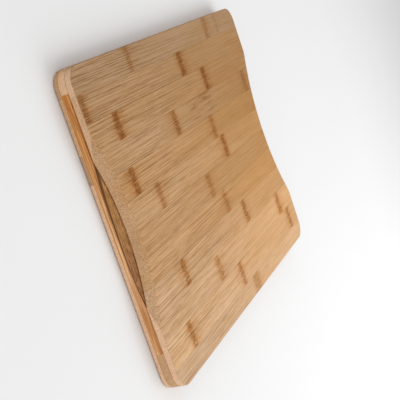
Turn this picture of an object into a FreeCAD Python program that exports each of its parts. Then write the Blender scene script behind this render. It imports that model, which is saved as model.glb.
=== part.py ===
"""Cross-laminated bamboo cutting board, lying flat with its scooped face up.

Three plies of glued bamboo strips: a face ply and a base ply with the strips running
along X, and a core between them whose strips run along Y between long rails.
Both short ends have a shallow finger scoop, hollowed through the face ply into the core.

Frame in mm: X along the board, Y across it, Z up. The origin is the middle of the underside.
"""
import FreeCAD, Part
import math
import os

# Overall size
board_length = 432.0
board_width = 304.8
corner_radius = 17.0
face_arris = 1.0
base_arris = 2.2

# Plies, from the underside up
base_thickness = 5.0
core_thickness = 7.4
face_thickness = 6.0

# Strips: the strip pitch, and the width of the cut-down first strip on the -Y side
strip_pitch = 26.0
face_first_width = 19.8
base_first_width = 21.0

# Core: long rails along both long edges, cross strips between them
front_rail_outer_width = 15.0
front_rail_inner_width = 24.0
rear_rail_width = 21.0

# Finger scoop: round in plan and hollow in section, with a softly rounded rim
scoop_plan_radius = 200.0     # of the line where the hollow would meet the upper face
scoop_inset = 21.4            # furthest reach of that line in from the short edge
scoop_section_radius = 35.5   # of the hollow in section
scoop_section_height = 26.3   # centre of that section above the upper face
scoop_rim_radius = 12.0       # of the round-over between the hollow and the upper face
core_relief = 0.4             # the core is hollowed this much deeper than the face ply

level_tolerance = 1e-6        # an edge this near to one height all along is level

board_thickness = base_thickness + core_thickness + face_thickness
core_bottom = base_thickness
face_bottom = base_thickness + core_thickness
half_length = board_length / 2
half_width = board_width / 2


def block(x_low, x_high, y_low, y_high, z_low, z_high):
    """A box between two corners."""
    size = (x_high - x_low, y_high - y_low, z_high - z_low)
    return Part.makeBox(*size, FreeCAD.Vector(x_low, y_low, z_low))


def is_level_at(edge, height):
    """True for an edge that lies wholly at one height."""
    box = edge.BoundBox
    return max(abs(box.ZMin - height), abs(box.ZMax - height)) < level_tolerance


def rounded_board():
    """The whole board before the scoops: round corners and softened arrises."""
    board = block(-half_length, half_length, -half_width, half_width, 0, board_thickness)
    uprights = [edge for edge in board.Edges if edge.BoundBox.ZLength > board_thickness / 2]
    board = board.makeFillet(corner_radius, uprights)
    rim = [edge for edge in board.Edges if is_level_at(edge, board_thickness)]
    board = board.makeFillet(face_arris, rim)
    foot = [edge for edge in board.Edges if is_level_at(edge, 0)]
    return board.makeFillet(base_arris, foot)


def scoop_section(relief):
    """Half of a scoop cutter's section, beside the upright axis that it turns about.

    The hollow's arc runs out of the board on the near side, and on the far side it turns into
    the rim's arc, which is tangent to it and to the upper face.
    """
    hollow_radius = scoop_section_radius + relief
    line_reach = math.sqrt(scoop_section_radius ** 2 - scoop_section_height ** 2)
    hollow_x = scoop_plan_radius - line_reach
    hollow_z = board_thickness + scoop_section_height
    rim_z = board_thickness - scoop_rim_radius
    span = hollow_radius + scoop_rim_radius
    rim_x = hollow_x + math.sqrt(span ** 2 - (hollow_z - rim_z) ** 2)
    share = hollow_radius / span
    meeting_x = hollow_x + (rim_x - hollow_x) * share
    meeting_z = hollow_z + (rim_z - hollow_z) * share
    start_x = hollow_x - hollow_radius
    hollow = arc_about(hollow_x, hollow_z, (start_x, hollow_z), (meeting_x, meeting_z))
    rim = arc_about(rim_x, rim_z, (meeting_x, meeting_z), (rim_x, board_thickness))
    far_corner = FreeCAD.Vector(rim_x, 0, hollow_z)
    rise = Part.LineSegment(FreeCAD.Vector(rim_x, 0, board_thickness), far_corner)
    lid = Part.LineSegment(far_corner, FreeCAD.Vector(start_x, 0, hollow_z))
    return Part.Face(Part.Wire([piece.toShape() for piece in (hollow, rim, rise, lid)]))


def arc_about(centre_x, centre_z, start, end):
    """The shorter arc from start to end about a centre, in the XZ plane."""
    radius = math.dist((centre_x, centre_z), start)
    middle_x = (start[0] + end[0]) / 2 - centre_x
    middle_z = (start[1] + end[1]) / 2 - centre_z
    stretch = radius / math.hypot(middle_x, middle_z)
    middle = FreeCAD.Vector(centre_x + middle_x * stretch, 0, centre_z + middle_z * stretch)
    return Part.Arc(FreeCAD.Vector(start[0], 0, start[1]), middle, FreeCAD.Vector(end[0], 0, end[1]))


def scoop_cutters(relief):
    """The two rings that hollow out the short ends, each turned about an axis outside the board."""
    axis_x = half_length + scoop_plan_radius - scoop_inset
    upright = FreeCAD.Vector(0, 0, 1)
    ring = scoop_section(relief).revolve(FreeCAD.Vector(0, 0, 0), upright, 360)
    return [ring.translated(FreeCAD.Vector(side * axis_x, 0, 0)) for side in (-1, 1)]


def ply(board, z_low, z_high):
    """The slice of the board between two heights."""
    return board.common(block(-half_length, half_length, -half_width, half_width, z_low, z_high))


def strip_edges(low, high, first_width):
    """Glue-line places from low to high: a first strip, whole strips, and what is left."""
    edges = [low]
    place = low + first_width
    while place < high:
        edges.append(place)
        place += strip_pitch
    return edges + [high]


def save(name, shape):
    """Write the one solid of a strip as its own STEP file."""
    shape = shape.removeSplitter()
    solid, = shape.Solids
    solid.exportStep("parts/" + name + ".step")


def save_long_strips(prefix, layer, first_width):
    """Cut a ply into strips that run along X, numbered from the -Y edge."""
    edges = strip_edges(-half_width, half_width, first_width)
    for number, (low, high) in enumerate(zip(edges, edges[1:]), start=1):
        strip = layer.common(block(-half_length, half_length, low, high, 0, board_thickness))
        save("%s_%02d" % (prefix, number), strip)


def save_core(layer):
    """Cut the core into its three rails and the cross strips between them."""
    front_seam = -half_width + front_rail_outer_width
    front_end = front_seam + front_rail_inner_width
    rear_end = half_width - rear_rail_width
    rails = {
        "core_rail_front_outer": (-half_width, front_seam),
        "core_rail_front_inner": (front_seam, front_end),
        "core_rail_rear": (rear_end, half_width),
    }
    for name, (low, high) in rails.items():
        save(name, layer.common(block(-half_length, half_length, low, high, 0, board_thickness)))
    whole_strips = int(board_length // strip_pitch) - 1
    end_width = (board_length - whole_strips * strip_pitch) / 2
    edges = strip_edges(-half_length, half_length, end_width)
    for number, (low, high) in enumerate(zip(edges, edges[1:]), start=1):
        strip = layer.common(block(low, high, front_end, rear_end, 0, board_thickness))
        save("core_strip_%02d" % number, strip)


def main():
    os.makedirs("parts", exist_ok=True)
    board = rounded_board()
    face = ply(board, face_bottom, board_thickness).cut(scoop_cutters(0))
    core = ply(board, core_bottom, face_bottom).cut(scoop_cutters(core_relief))
    base = ply(board, 0, core_bottom)
    save_long_strips("face_strip", face, face_first_width)
    save_core(core)
    save_long_strips("base_strip", base, base_first_width)


main()
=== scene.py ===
"""Cross-laminated bamboo cutting board, on a pale floor under soft studio light.

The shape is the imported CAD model. This file gives every strip its own bamboo, and sets up the
floor, the lights and the camera. Lengths are in metres, but in the bamboo's patterns, and where
a name ends in _MM, they are in mm.
"""
import math
import random

import bpy
from mathutils import Matrix, Vector


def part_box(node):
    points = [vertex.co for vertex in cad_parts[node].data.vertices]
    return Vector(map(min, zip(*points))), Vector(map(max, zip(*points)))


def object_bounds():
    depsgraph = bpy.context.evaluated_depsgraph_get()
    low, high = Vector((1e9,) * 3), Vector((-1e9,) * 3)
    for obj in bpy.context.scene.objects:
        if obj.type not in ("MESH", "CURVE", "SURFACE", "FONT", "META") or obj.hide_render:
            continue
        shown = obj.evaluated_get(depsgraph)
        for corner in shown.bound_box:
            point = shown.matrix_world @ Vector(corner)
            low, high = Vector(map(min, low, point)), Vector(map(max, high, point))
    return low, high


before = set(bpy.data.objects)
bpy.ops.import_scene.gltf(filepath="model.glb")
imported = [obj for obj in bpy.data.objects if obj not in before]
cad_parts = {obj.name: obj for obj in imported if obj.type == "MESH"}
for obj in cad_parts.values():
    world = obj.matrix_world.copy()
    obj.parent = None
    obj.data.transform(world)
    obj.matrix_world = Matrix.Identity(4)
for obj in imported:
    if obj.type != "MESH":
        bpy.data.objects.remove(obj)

cad_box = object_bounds()
BOARD_HIGH = cad_box[1]
MM = 1000.0   # in a metre
HALF_LENGTH_MM = BOARD_HIGH.x * MM
CORE_BOTTOM_MM, CORE_TOP_MM = (corner[2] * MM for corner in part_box("core_strip_01"))

# Where the Mix node keeps its factor and its two colours, and its mixed colour
MIX_INPUTS = (0, 6, 7)
MIX_OUTPUT = 2


class Shader:
    """A material's node tree, with one short call for each kind of node."""

    def __init__(self, name):
        self.material = bpy.data.materials.new(name)
        self.material.use_nodes = True
        self.tree = self.material.node_tree
        self.surface = self.tree.nodes["Principled BSDF"].inputs

    def node(self, kind, *inputs, **settings):
        made = self.tree.nodes.new("ShaderNode" + kind)
        for key, value in settings.items():
            setattr(made, key, value)
        for socket, value in zip(made.inputs, inputs):
            self.feed(socket, value)
        return made

    def feed(self, socket, value):
        """Links a socket to another node's output, or sets it to a number or colour."""
        if isinstance(value, bpy.types.NodeSocket):
            self.tree.links.new(value, socket)
        else:
            socket.default_value = value

    def math(self, operation, *inputs):
        return self.node("Math", *inputs, operation=operation).outputs[0]

    def times(self, first, second):
        return self.math("MULTIPLY", first, second)

    def gap(self, first, second):
        """How far apart two numbers are."""
        return self.math("ABSOLUTE", self.math("SUBTRACT", first, second))

    def scaled(self, vector, factors, offset=(0, 0, 0)):
        made = self.node("VectorMath", vector, factors, offset, operation="MULTIPLY_ADD")
        return made.outputs[0]

    def noise(self, place, scale=1.0, detail=2.0, roughness=0.5, distortion=0.0):
        """Noise from 0 to 1, mostly near 0.5."""
        made = self.node("TexNoise")
        self.feed(made.inputs["Vector"], place)
        self.feed(made.inputs["Scale"], scale)
        self.feed(made.inputs["Detail"], detail)
        self.feed(made.inputs["Roughness"], roughness)
        self.feed(made.inputs["Distortion"], distortion)
        return made.outputs[0]

    def band(self, value, low, high, to_low=0.0, to_high=1.0):
        """value's smooth step from low to high, as a number from to_low to to_high."""
        made = self.node("MapRange", value, low, high, to_low, to_high)
        made.interpolation_type = "SMOOTHSTEP"
        return made.outputs[0]

    def mix(self, factor, first, second, blend="MIX"):
        made = self.node("Mix", data_type="RGBA", blend_type=blend)
        for place, value in zip(MIX_INPUTS, (factor, first, second)):
            self.feed(made.inputs[place], value)
        return made.outputs[MIX_OUTPUT]

    def tint(self, colour, share, factor=1.0):
        """A colour multiplied by shares of red, green and blue, as far as the factor says."""
        return self.mix(factor, colour, share, "MULTIPLY")


PATTERN_SHIFT = 500   # the most that a strip's patterns are shifted, in steps of the pattern


class StripShader(Shader):
    """The shader of one strip, with the places that its patterns are laid out in.

    x, y and z are a point's place in mm. along and across are that place by the fibres, and
    fibre is along, across and z as one vector. end_part and up_part are how much of the
    surface's direction is along the fibres, either way, and up.
    """

    def __init__(self, node, seed, grain="X"):
        super().__init__("bamboo_" + node)
        self.cad_node = node
        place = self.scaled(self.node("TexCoord").outputs["Object"], (MM, MM, MM))
        point = self.node("SeparateXYZ", place).outputs
        self.x, self.y, self.z = point
        normal = self.node("SeparateXYZ", self.node("NewGeometry").outputs["Normal"]).outputs
        along, across = (0, 1) if grain == "X" else (1, 0)
        self.along = point[along]
        self.across = point[across]
        self.fibre = self.node("CombineXYZ", self.along, self.across, self.z).outputs[0]
        self.end_part = self.math("ABSOLUTE", normal[along])
        self.up_part = normal[2]
        low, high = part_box(node)
        self.sides_mm = (low[across] * MM, high[across] * MM)
        rng = random.Random(seed)
        self.shift = [rng.uniform(-PATTERN_SHIFT, PATTERN_SHIFT) for _ in range(3)]

    def spread(self, along, across, up=None, shared=False):
        """The place for a pattern with this many steps per mm along, across and up.

        Every strip has the pattern in its own place, unless it is shared: then it runs on
        from strip to strip.
        """
        offset = (0, 0, 0) if shared else self.shift
        return self.scaled(self.fibre, (along, across, across if up is None else up), offset)

    def grain(self, along, across, up=None, shared=False, **settings):
        """Noise with this many steps per mm along the fibres, across them and up."""
        return self.noise(self.spread(along, across, up, shared), **settings)


def rgb(red, green, blue):
    """An sRGB colour from 0 to 255, as the linear colour that a shader takes."""
    return tuple(((c / 255 + 0.055) / 1.055) ** 2.4 for c in (red, green, blue)) + (1.0,)


def grey(value):
    return (value, value, value, 1.0)


def warmed(tone, lightness, warmth):
    """A tone made lighter or darker, and more orange as its warmth grows."""
    red, green, blue, alpha = tone
    green *= 1 - 0.14 * warmth
    blue *= 1 - 0.45 * warmth
    return (red * lightness, green * lightness, blue * lightness, alpha)


# Tones of the strips, of their sawn ends, and of the slant where a scoop cuts the fibres
FACE_TONE = rgb(214, 168, 120)
BASE_PALE_TONE = rgb(206, 162, 122)
BASE_BROWN_TONE = rgb(190, 146, 104)
RAIL_TONE = rgb(196, 152, 112)
CORE_TONE = rgb(231, 176, 118)
SAWN_TONE = rgb(222, 182, 147)
SCOOPED_TONE = rgb(192, 155, 122)

# Colours that are laid over a tone
DARK_FIBRE = rgb(124, 82, 36)
MARK_DOT = rgb(98, 58, 8)
GLUE_BROWN = rgb(84, 46, 18)
FIGURE_BROWN = rgb(132, 84, 40)
STREAK_BROWN = rgb(172, 104, 46)
STREAK_PALE = rgb(238, 188, 134)
# Scorch, and along a scoop's lip also painted shade
SCORCHED_AND_SHADE = rgb(90, 52, 12)

# Shares of red, green and blue that a colour is multiplied by
PALE_FIBRE = (1.19, 1.27, 1.42, 1.0)
PATCH_PALE = (1.04, 1.06, 1.12, 1.0)
PATCH_ORANGE = (0.97, 0.93, 0.82, 1.0)
MARK_STAIN = (0.79, 0.57, 0.22, 1.0)
SCOOP_BLEACH = (1.0, 1.06, 1.28, 1.0)

# The grain is plainer towards the board's +X end: between these places, by these strengths
GRAIN_FADE_MM = (-150.0, 120.0)
GRAIN_STRENGTHS = (1.15, 0.45)


def fibre_tone(shade, tone, contrast):
    """The strip's own colour and its relief.

    The colour is the tone with soft patches, long fine grain lines, hair lines and short
    dashes. The lines, hairs and dashes are dark and pale.
    """
    strength = shade.band(shade.x, *GRAIN_FADE_MM, *GRAIN_STRENGTHS)
    patches = shade.grain(along=0.012, across=0.050, detail=4, roughness=0.6)
    swathes = shade.grain(along=0.003, across=0.16)
    lines = shade.grain(along=0.0032, across=0.78, roughness=0.6)
    hairs = shade.grain(along=0.008, across=1.35, roughness=0.7)
    dashes = shade.grain(along=0.055, across=0.85, detail=1)
    colour = shade.tint(tone, shade.mix(shade.band(patches, 0.32, 0.68), PATCH_PALE, PATCH_ORANGE))
    swathes = shade.mix(shade.band(swathes, 0.34, 0.66), grey(0.985), grey(1.015))
    colour = shade.tint(colour, swathes)
    pale = shade.tint(tone, PALE_FIBRE)
    # Each layer: its pattern, where that starts to show and shows fully, its depth and its colour
    layers = (
        (shade.gap(lines, 0.5), 0.070, 0.010, 0.15 * contrast, DARK_FIBRE),
        (lines, 0.56, 0.66, 0.10 * contrast, pale),
        (hairs, 0.51, 0.38, 0.76 * contrast, DARK_FIBRE),
        (hairs, 0.53, 0.66, 0.88 * contrast, pale),
        (dashes, 0.54, 0.70, 0.20, DARK_FIBRE),
        (dashes, 0.46, 0.30, 0.30, pale),
    )
    for pattern, start, full, depth, layer_colour in layers:
        amount = shade.band(pattern, start, full, 0.0, shade.times(strength, depth))
        colour = shade.mix(amount, colour, layer_colour)
    relief = shade.math("ADD", shade.times(lines, 0.5), shade.times(hairs, 0.7))
    return colour, relief


MARK_WANDER_MM = 5.0    # how far a node mark's line wanders either way
MARK_CORE = 0.6         # the share of its half width that has its full depth
STAIN_FADE_MM = 5.5     # how far its stain fades out past its half width
DOTS_FADE_MM = 3.0      # how far its dots fade out past its half width
HALO_REACH_MM = 27.0    # how far a wider stain fades out on the side that the mark gives
HALO_BACK_MM = 14.0     # how far that fades out on the other side, past the half width


def node_marks(shade, colour, marks):
    """Dark dots in a stained row across the strip where the cane had a joint.

    A mark is the row's place along the strip, its half width, its depth, and 1 or -1 for the
    side that a wider stain is on.
    """
    wander = shade.grain(along=0.03, across=0.34, detail=3, roughness=0.7)
    wander = shade.math("MULTIPLY_ADD", wander, 2 * MARK_WANDER_MM, -MARK_WANDER_MM)
    place = shade.math("ADD", shade.along, wander)
    smear = shade.grain(along=0.07, across=0.42, detail=3, roughness=0.65)
    halo_smear = shade.band(smear, 0.34, 0.62, 0.30, 1.0)
    stain_smear = shade.band(smear, 0.34, 0.62, 0.75, 1.0)
    dots = shade.band(shade.grain(along=0.30, across=0.80, roughness=0.6), 0.47, 0.60, 0.0, 0.85)
    for centre, half, depth, side in marks:
        offset = shade.math("SUBTRACT", place, centre)
        gap = shade.math("ABSOLUTE", offset)
        aside = shade.times(offset, side)
        halo = shade.band(aside, HALO_REACH_MM, 0.0, 0.0, depth)
        halo = shade.times(halo, shade.band(aside, -half - HALO_BACK_MM, 0.0))
        colour = shade.tint(colour, MARK_STAIN, shade.times(halo, halo_smear))
        stain = shade.band(gap, half + STAIN_FADE_MM, half * MARK_CORE, 0.0, depth)
        colour = shade.tint(colour, MARK_STAIN, shade.times(stain, stain_smear))
        row = shade.band(gap, half + DOTS_FADE_MM, half * MARK_CORE, 0.0, depth)
        colour = shade.mix(shade.times(row, dots), colour, MARK_DOT)
    return colour


# Cut ends: parts of the surface's direction, up and along the fibres
SLANTED, UPRIGHT = 0.69, 0.39       # the upward part on a scoop's slant, and on an upright end
CUT_START, CUT_FULL = 0.12, 0.80    # the part along the fibres where a cut starts to show, and is full
RAGGED_REACH = 0.3                  # how far that start wanders either way
SCOOP_GRAIN = 0.55      # how much of the grain's colours a scoop's slant keeps
SCOOP_GREYING = 0.35    # how far its tone goes over to SCOOPED_TONE


def end_grain(shade, colour, tone, end_tone):
    """The colour where the fibres are cut across: fine dots on a mottled ground.

    Upright ends have end_tone. The slant of a scoop keeps some of the strip's own colour. The
    edge of the cut is ragged.
    """
    steepness = shade.math("ABSOLUTE", shade.up_part)
    upright = shade.band(steepness, SLANTED, UPRIGHT)
    slanted = shade.tint(shade.mix(SCOOP_GRAIN, tone, colour), SCOOP_BLEACH)
    slanted = shade.mix(SCOOP_GREYING, slanted, SCOOPED_TONE)
    ground = shade.mix(upright, slanted, end_tone)
    mottle = shade.grain(along=0.22, across=0.55, detail=3, roughness=0.75)
    ground = shade.tint(ground, shade.mix(shade.band(mottle, 0.30, 0.70), grey(0.90), grey(1.14)))
    cells = shade.node("TexVoronoi", feature="F1")
    shade.feed(cells.inputs["Vector"], shade.spread(along=0.16, across=0.95))
    shade.feed(cells.inputs["Scale"], 1.0)
    dots = shade.band(cells.outputs["Distance"], 0.52, 0.20)
    depth = shade.band(steepness, SLANTED, UPRIGHT, 0.45, 0.25)
    cut = shade.mix(shade.times(dots, depth), ground, DARK_FIBRE)
    ragged = shade.grain(along=0.012, across=0.80, roughness=0.6)
    ragged = shade.math("MULTIPLY_ADD", ragged, 2 * RAGGED_REACH, -RAGGED_REACH)
    start = shade.math("ADD", shade.end_part, ragged)
    return shade.mix(shade.band(start, CUT_START, CUT_FULL), colour, cut)


# Glue lines: how far each fades out from its middle in mm, and its depth
STRIP_GLUE = (0.35, 0.26)
PLY_GLUE = (0.40, 0.55)
GLUE_CORE_MM = 0.05   # how far out from its middle a glue line has its full depth
GLUE_SINK = 0.8       # how much a glue line lowers the relief


def glue_lines(shade):
    """How strongly a glue line shows at a point: between strips faintly, between plies more."""
    lines = [(shade.across, side, STRIP_GLUE) for side in shade.sides_mm]
    lines += [(shade.z, level, PLY_GLUE) for level in (CORE_BOTTOM_MM, CORE_TOP_MM)]
    glue = 0.0
    for place, middle, (fade, depth) in lines:
        line = shade.band(shade.gap(place, middle), fade, GLUE_CORE_MM, 0.0, depth)
        glue = shade.math("MAXIMUM", glue, line)
    return glue


def bamboo(shade, tone, end_tone, marks=(), contrast=1.0):
    """The colour and the relief of a strip: its tone, node marks, cut ends and glue lines."""
    colour, relief = fibre_tone(shade, tone, contrast)
    colour = node_marks(shade, colour, marks)
    colour = end_grain(shade, colour, tone, end_tone)
    glue = glue_lines(shade)
    colour = shade.mix(glue, colour, GLUE_BROWN)
    return colour, shade.math("SUBTRACT", relief, shade.times(glue, GLUE_SINK))


LOW_ROUGHNESS, HIGH_ROUGHNESS = 0.49, 0.63   # of the relief's high and low places
BAMBOO_SPECULAR = 0.15
BUMP_STRENGTH = 0.5
BUMP_HEIGHT = 0.00015


def dress(shade, colour, relief):
    """Wires colour, roughness and bump into the surface, and gives the CAD node this one material."""
    shade.feed(shade.surface["Base Color"], colour)
    roughness = shade.band(relief, 0.3, 0.9, HIGH_ROUGHNESS, LOW_ROUGHNESS)
    shade.feed(shade.surface["Roughness"], roughness)
    shade.surface["Specular IOR Level"].default_value = BAMBOO_SPECULAR
    bump = shade.node("Bump")
    bump.inputs["Strength"].default_value = BUMP_STRENGTH
    bump.inputs["Distance"].default_value = BUMP_HEIGHT
    shade.feed(bump.inputs["Height"], relief)
    shade.feed(shade.surface["Normal"], bump.outputs[0])
    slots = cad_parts[shade.cad_node].data.materials
    slots.clear()
    slots.append(shade.material)


# Node marks of the face, by strip from the -Y edge. Each is its place in mm from the -X end, its
# half width in mm, its depth, and 1 or -1 for the side that its wider stain is on
FACE_MARKS = {
    1: ((240, 9.0, 0.45, 1),),
    2: ((53, 3.0, 0.80, 1), (208, 3.0, 0.65, -1), (402, 3.5, 0.65, -1)),
    3: ((158, 4.0, 0.55, 1), (380, 5.0, 0.65, 1)),
    4: ((82, 3.2, 0.75, -1), (272, 4.0, 0.75, 1)),
    5: ((229, 3.5, 0.50, -1),),
    6: ((203, 4.5, 0.45, 1),),
    7: ((87, 3.5, 0.60, 1), (276, 3.5, 0.90, -1)),
    8: ((47, 3.5, 0.95, -1), (261, 3.2, 0.55, -1)),
    9: ((172, 3.8, 0.75, -1), (400, 5.0, 0.45, -1)),
    10: ((54, 4.2, 1.00, 1), (283, 4.0, 0.95, 1)),
    11: ((6, 3.0, 0.65, -1), (232, 3.5, 1.00, 1)),
    12: ((117, 3.2, 0.45, 1), (332, 4.0, 0.45, 1), (368, 1.5, 0.20, 1)),
}

# Tone and painted shade of each face strip, from the -Y edge: (lightness, warmth) at its -X end and its
# +X end
# The strips grow darker towards the +Y edge: partly their own tones, partly painted shade of the light
# falling off across the board
FACE_TONES_AND_SHADE = {
    1: ((0.85, -0.5), (1.00, -0.2)),
    2: ((0.95, -0.3), (0.95, 0.2)),
    3: ((0.90, -0.3), (1.00, 0.1)),
    4: ((0.85, -0.2), (0.85, 0.5)),
    5: ((0.80, 0.2), (0.80, 0.8)),
    6: ((0.75, 0.3), (0.70, 0.9)),
    7: ((0.80, 0.1), (0.75, 0.7)),
    8: ((0.75, 0.4), (0.65, 1.0)),
    9: ((0.75, 0.0), (0.60, 0.8)),
    10: ((0.70, 0.2), (0.60, 0.8)),
    11: ((0.65, 0.1), (0.60, 0.6)),
    12: ((0.60, -0.2), (0.60, -0.2)),
}
TONE_REACH_MM = 0.8 * HALF_LENGTH_MM   # the two tones stand this far from the board's middle

# Sawn ends that aren't the plain pale ones: (lightness, warmth), by strip from the -Y edge
PALE_END = (1.0, 0.0)
FACE_BROWN_ENDS = {10: (0.85, 0.1), 11: (0.80, 0.2), 12: (0.90, 0.0)}
BASE_BROWN_ENDS = {8: (0.95, 0.1), 9: (0.65, 0.5), 10: (0.85, 0.5), 11: (0.80, 0.5), 12: (0.70, 0.5)}

# Counts of strips
LONG_STRIPS = 12        # of the face, and of the base
BASE_PALE_STRIPS = 8    # of the base's strips, the first so many. The others are brown
CORE_STRIPS = 17

# Contrast of the grain: in the face it grows from strip to strip
FACE_CONTRAST_START = 0.56
FACE_CONTRAST_STEP = 0.025
CORE_CONTRAST = 0.7

# A strip's seed is its ply's seed and its number
FACE_SEED = 100
BASE_SEED = 200
CORE_SEED = 300
RAIL_SEED = 400
BASE_MARKS_SEED = 900

FIGURED_STRIP = 9                 # the face strip with a wavy darker figure
FIGURE_START_MM = (-8.0, 14.0)    # where the figure starts to show and shows fully
FIGURE_END_MM = (78.0, 52.0)      # where it no longer shows, and still shows fully


def wavy_figure(shade, colour):
    """A wavy darker figure across a strip, on the +X side of the board's middle."""
    figure = shade.grain(along=0.013, across=0.26, shared=True, detail=3, roughness=0.6, distortion=0.3)
    reach = shade.times(shade.band(shade.x, *FIGURE_START_MM), shade.band(shade.x, *FIGURE_END_MM))
    amount = shade.times(shade.band(figure, 0.47, 0.60, 0.0, 0.70), reach)
    return shade.mix(amount, colour, FIGURE_BROWN)


def dress_face_strip(number):
    shade = StripShader("face_strip_%02d" % number, FACE_SEED + number)
    # The strip's tone, darker towards the +Y edge partly by painted shade of the light falling off
    ends = [warmed(FACE_TONE, *end) for end in FACE_TONES_AND_SHADE[number]]
    tone = shade.mix(shade.band(shade.x, -TONE_REACH_MM, TONE_REACH_MM), *ends)
    end_tone = warmed(SAWN_TONE, *FACE_BROWN_ENDS.get(number, PALE_END))
    marks = [(place - HALF_LENGTH_MM, *rest) for place, *rest in FACE_MARKS[number]]
    contrast = FACE_CONTRAST_START + FACE_CONTRAST_STEP * number
    colour, relief = bamboo(shade, tone, end_tone, marks, contrast)
    if number == FIGURED_STRIP:
        colour = wavy_figure(shade, colour)
    dress(shade, colour, relief)


# The base's invented node marks, as the least and the most of each measure
FIRST_MARK_MM = (20, 210)         # from the -X end
MARK_SPACING_MM = (190, 232)
MARK_HALF_WIDTH_MM = (3.0, 4.5)
MARK_DEPTH = (0.6, 1.0)


def base_marks(number):
    """Random node marks along one strip of the base, as far apart as the joints of a cane."""
    rng = random.Random(BASE_MARKS_SEED + number)
    place = rng.uniform(*FIRST_MARK_MM) - HALF_LENGTH_MM
    marks = []
    while place < HALF_LENGTH_MM:
        half = rng.uniform(*MARK_HALF_WIDTH_MM)
        depth = rng.uniform(*MARK_DEPTH)
        side = rng.choice((-1, 1))
        marks.append((place, half, depth, side))
        place += rng.uniform(*MARK_SPACING_MM)
    return marks


def dress_base_strip(number):
    marks = base_marks(number)
    shade = StripShader("base_strip_%02d" % number, BASE_SEED + number)
    tone = BASE_PALE_TONE if number <= BASE_PALE_STRIPS else BASE_BROWN_TONE
    end_tone = warmed(SAWN_TONE, *BASE_BROWN_ENDS.get(number, PALE_END))
    dress(shade, *bamboo(shade, tone, end_tone, marks))


# Sawn ends of the core's rails, each with its tone. The rear rail's end is lighter than the front ones:
# painted light against the shade it lies in
RAIL_END_TONES_AND_LIGHT = {
    "core_rail_front_outer": rgb(194, 153, 116),
    "core_rail_front_inner": rgb(194, 152, 112),
    # Lighter: painted light against the shade at this end
    "core_rail_rear": rgb(216, 176, 137),
}


def dress_rails():
    for number, (node, end_tone) in enumerate(RAIL_END_TONES_AND_LIGHT.items()):
        shade = StripShader(node, RAIL_SEED + number)
        dress(shade, *bamboo(shade, RAIL_TONE, end_tone))


# The core's cut side: its lower and upper halves, and its -Y and +Y parts, as shares of the colour
CORE_HALVES_MM = (8.2, 9.4)        # where the lower half ends and the upper one starts
CORE_LOWER = grey(1.05)
CORE_UPPER = (0.92, 0.84, 0.78, 1.0)
CORE_LENGTH_MM = (10.0, 105.0)     # where the -Y part ends and the +Y one starts
CORE_MINUS_Y = (1.12, 1.13, 1.20, 1.0)
CORE_PLUS_Y = (0.95, 0.79, 0.55, 1.0)
CORE_BORDER_MM = (2.2, 0.6)        # under the face ply, where a broken brown border starts and is full


def core_streaks(shade, colour):
    """Long dark and pale orange streaks along the cut side of the cross strips, and its border."""
    streaks = shade.grain(along=0.014, across=0.10, up=0.62, shared=True, detail=3, roughness=0.7)
    colour = shade.mix(shade.band(streaks, 0.50, 0.38, 0.0, 0.70), colour, STREAK_BROWN)
    colour = shade.mix(shade.band(streaks, 0.51, 0.62, 0.0, 0.50), colour, STREAK_PALE)
    colour = shade.tint(colour, shade.mix(shade.band(shade.z, *CORE_HALVES_MM), CORE_LOWER, CORE_UPPER))
    broken = shade.grain(along=0.11, across=0.5, up=0.9, shared=True, roughness=0.6)
    start, full = (CORE_TOP_MM - depth for depth in CORE_BORDER_MM)
    border = shade.times(shade.band(broken, 0.46, 0.58, 0.0, 0.55), shade.band(shade.z, start, full))
    colour = shade.mix(border, colour, GLUE_BROWN)
    length = shade.band(shade.y, *CORE_LENGTH_MM)
    return shade.tint(colour, shade.mix(length, CORE_MINUS_Y, CORE_PLUS_Y))


# The bottom of a scoop, in the core: darker and paler browns of its -Y part and of its +Y part
SCOOP_MINUS_Y = (rgb(118, 70, 36), rgb(172, 121, 73))
SCOOP_PLUS_Y = (rgb(130, 86, 42), rgb(184, 132, 74))
SCOOP_PARTS_MM = (-32.0, 12.0)     # where the -Y part ends and the +Y one starts
LIP_PARTS_MM = (-40.0, 40.0)       # between these, the lip's dark line, partly scorch and partly painted shade, grows towards +Y
LIP_WIDTHS_MM = (1.2, 3.6)         # from the first of these widths to the second
RIM_FADE_MM = (1.1, 0.3)           # under the face ply, where the scorched rim starts and is full
RIM_MIDDLE_MM = (6.0, 30.0)        # between these, out from the board's middle, the rim gets stronger
# How dark the rim's scorch, and the lip's scorch and painted shade, get
SCORCH_AND_SHADE_DEPTH = 0.95


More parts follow.
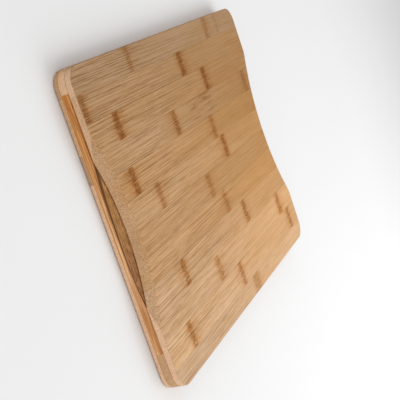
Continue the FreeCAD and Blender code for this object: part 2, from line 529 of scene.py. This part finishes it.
def scorch_and_shade(shade, colour):
    """The upward side of a cross strip, browned by the cutter and scorched along its rim. The dark line
    along its lip is partly scorch and partly painted shade under the lip.

    It shows only in the two end strips, where it is the bottom of a scoop.
    """
    mottle = shade.grain(along=0.12, across=0.55, shared=True, detail=4, roughness=0.75)
    plus_y = shade.mix(shade.band(mottle, 0.30, 0.70), *SCOOP_PLUS_Y)
    minus_y = shade.mix(shade.band(mottle, 0.35, 0.65), *SCOOP_MINUS_Y)
    brown = shade.mix(shade.band(shade.y, *SCOOP_PARTS_MM), minus_y, plus_y)
    inward = shade.math("SUBTRACT", HALF_LENGTH_MM, shade.math("ABSOLUTE", shade.x))
    ragged = shade.math("MULTIPLY_ADD", mottle, 1.2, 0.4)
    width = shade.times(shade.band(shade.y, *LIP_PARTS_MM, *LIP_WIDTHS_MM), ragged)
    # The lip's dark line: partly scorch, partly painted shade under the lip
    lip = shade.band(shade.math("DIVIDE", inward, width), 1.0, 0.7, 0.0, SCORCH_AND_SHADE_DEPTH)
    broken = shade.grain(along=0.30, across=0.60, shared=True, roughness=0.6)
    below_face = shade.math("SUBTRACT", CORE_TOP_MM, shade.z)
    from_middle = shade.math("ABSOLUTE", shade.y)
    rim = shade.band(below_face, *RIM_FADE_MM, 0.0, SCORCH_AND_SHADE_DEPTH)
    rim = shade.times(rim, shade.band(broken, 0.42, 0.58, 0.30, 1.0))
    rim = shade.times(rim, shade.band(from_middle, *RIM_MIDDLE_MM, 0.40, 1.0))
    burnt_and_shaded = shade.mix(shade.math("MAXIMUM", lip, rim), brown, SCORCHED_AND_SHADE)
    faces_up = shade.band(shade.up_part, 0.25, 0.70)
    return shade.mix(faces_up, colour, burnt_and_shaded)


def dress_core_strip(number):
    shade = StripShader("core_strip_%02d" % number, CORE_SEED + number, grain="Y")
    colour, relief = bamboo(shade, CORE_TONE, CORE_TONE, contrast=CORE_CONTRAST)
    colour = core_streaks(shade, colour)
    dress(shade, scorch_and_shade(shade, colour), relief)


FLOOR_HALF = 6.0        # half the side of the square floor
FLOOR_DROP = 0.0002     # the floor lies this much under the board
FLOOR_GREYS = (grey(0.80), grey(0.84))
FLOOR_ROUGHNESS = 0.9
FLOOR_SPECULAR = 0.1


def make_floor():
    """A plain pale floor, wide enough to fill the picture."""
    half = FLOOR_HALF
    corners = [(-half, -half, 0), (half, -half, 0), (half, half, 0), (-half, half, 0)]
    mesh = bpy.data.meshes.new("floor")
    mesh.from_pydata(corners, [], [(0, 1, 2, 3)])
    floor = bpy.data.objects.new("floor", mesh)
    bpy.context.scene.collection.objects.link(floor)
    shade = Shader("pale_floor")
    cloud = shade.noise(shade.node("TexCoord").outputs["Object"], scale=2.0)
    shade.feed(shade.surface["Base Color"], shade.mix(cloud, *FLOOR_GREYS))
    shade.surface["Roughness"].default_value = FLOOR_ROUGHNESS
    shade.surface["Specular IOR Level"].default_value = FLOOR_SPECULAR
    mesh.materials.append(shade.material)
    floor.location.z = -FLOOR_DROP


# Square soft boxes: (place, the point each is turned towards, side, power in watts)
LIGHTS = {
    "key": ((0.40, -0.84, 0.80), (0, 0, 0), 1.6, 12.2),
    "fill_left": ((-1.4, -0.2, 0.55), (0, 0, 0), 1.0, 5.4),
    "fill_rear": ((0.5, 1.2, 0.55), (0.2, 0.15, 0), 1.6, 4.8),
}
WORLD_STRENGTH = 0.58


def make_light(name, place, aim, side, power):
    data = bpy.data.lights.new(name, "AREA")
    data.shape = "SQUARE"
    data.size = side
    data.energy = power
    light = bpy.data.objects.new(name, data)
    light.location = place
    light.rotation_euler = (Vector(aim) - Vector(place)).to_track_quat("-Z", "Y").to_euler()
    bpy.context.scene.collection.objects.link(light)


def make_world():
    world = bpy.data.worlds.new("studio")
    world.use_nodes = True
    background = world.node_tree.nodes["Background"]
    background.inputs["Color"].default_value = grey(1.0)
    background.inputs["Strength"].default_value = WORLD_STRENGTH
    bpy.context.scene.world = world


# Camera: seen from over the -X end, turned so that the +Y edge is the picture's top
CAMERA_AIM = Vector((-0.0501, -0.0202, BOARD_HIGH.z))
CAMERA_DISTANCE = 0.975
CAMERA_AZIMUTH = math.radians(-102.0)
CAMERA_ELEVATION = math.radians(24.57)
CAMERA_ROLL = math.radians(76.0)
CAMERA_LENS_MM = 85.4
CAMERA_SENSOR_MM = 36.0
CAMERA_CLIP = (0.01, 50.0)   # the nearest and furthest that it sees


def make_camera():
    """The camera, set from where it looks, its direction, distance and roll."""
    data = bpy.data.cameras.new("camera")
    data.lens = CAMERA_LENS_MM
    data.sensor_width = CAMERA_SENSOR_MM
    data.clip_start, data.clip_end = CAMERA_CLIP
    level = math.cos(CAMERA_ELEVATION)
    back_x = math.sin(CAMERA_AZIMUTH) * level
    back_y = -math.cos(CAMERA_AZIMUTH) * level
    back = Vector((back_x, back_y, math.sin(CAMERA_ELEVATION)))
    place = Matrix.Translation(CAMERA_AIM + back * CAMERA_DISTANCE)
    turn = back.to_track_quat("Z", "Y").to_matrix().to_4x4()
    roll = Matrix.Rotation(CAMERA_ROLL, 4, "Z")
    camera = bpy.data.objects.new("camera", data)
    camera.matrix_world = place @ turn @ roll
    bpy.context.scene.collection.objects.link(camera)
    bpy.context.scene.camera = camera


for number in range(1, LONG_STRIPS + 1):
    dress_face_strip(number)
    dress_base_strip(number)
for number in range(1, CORE_STRIPS + 1):
    dress_core_strip(number)
dress_rails()

make_floor()
for name, settings in LIGHTS.items():
    make_light(name, *settings)
make_world()
make_camera()
bpy.context.scene.view_settings.view_transform = "Standard"
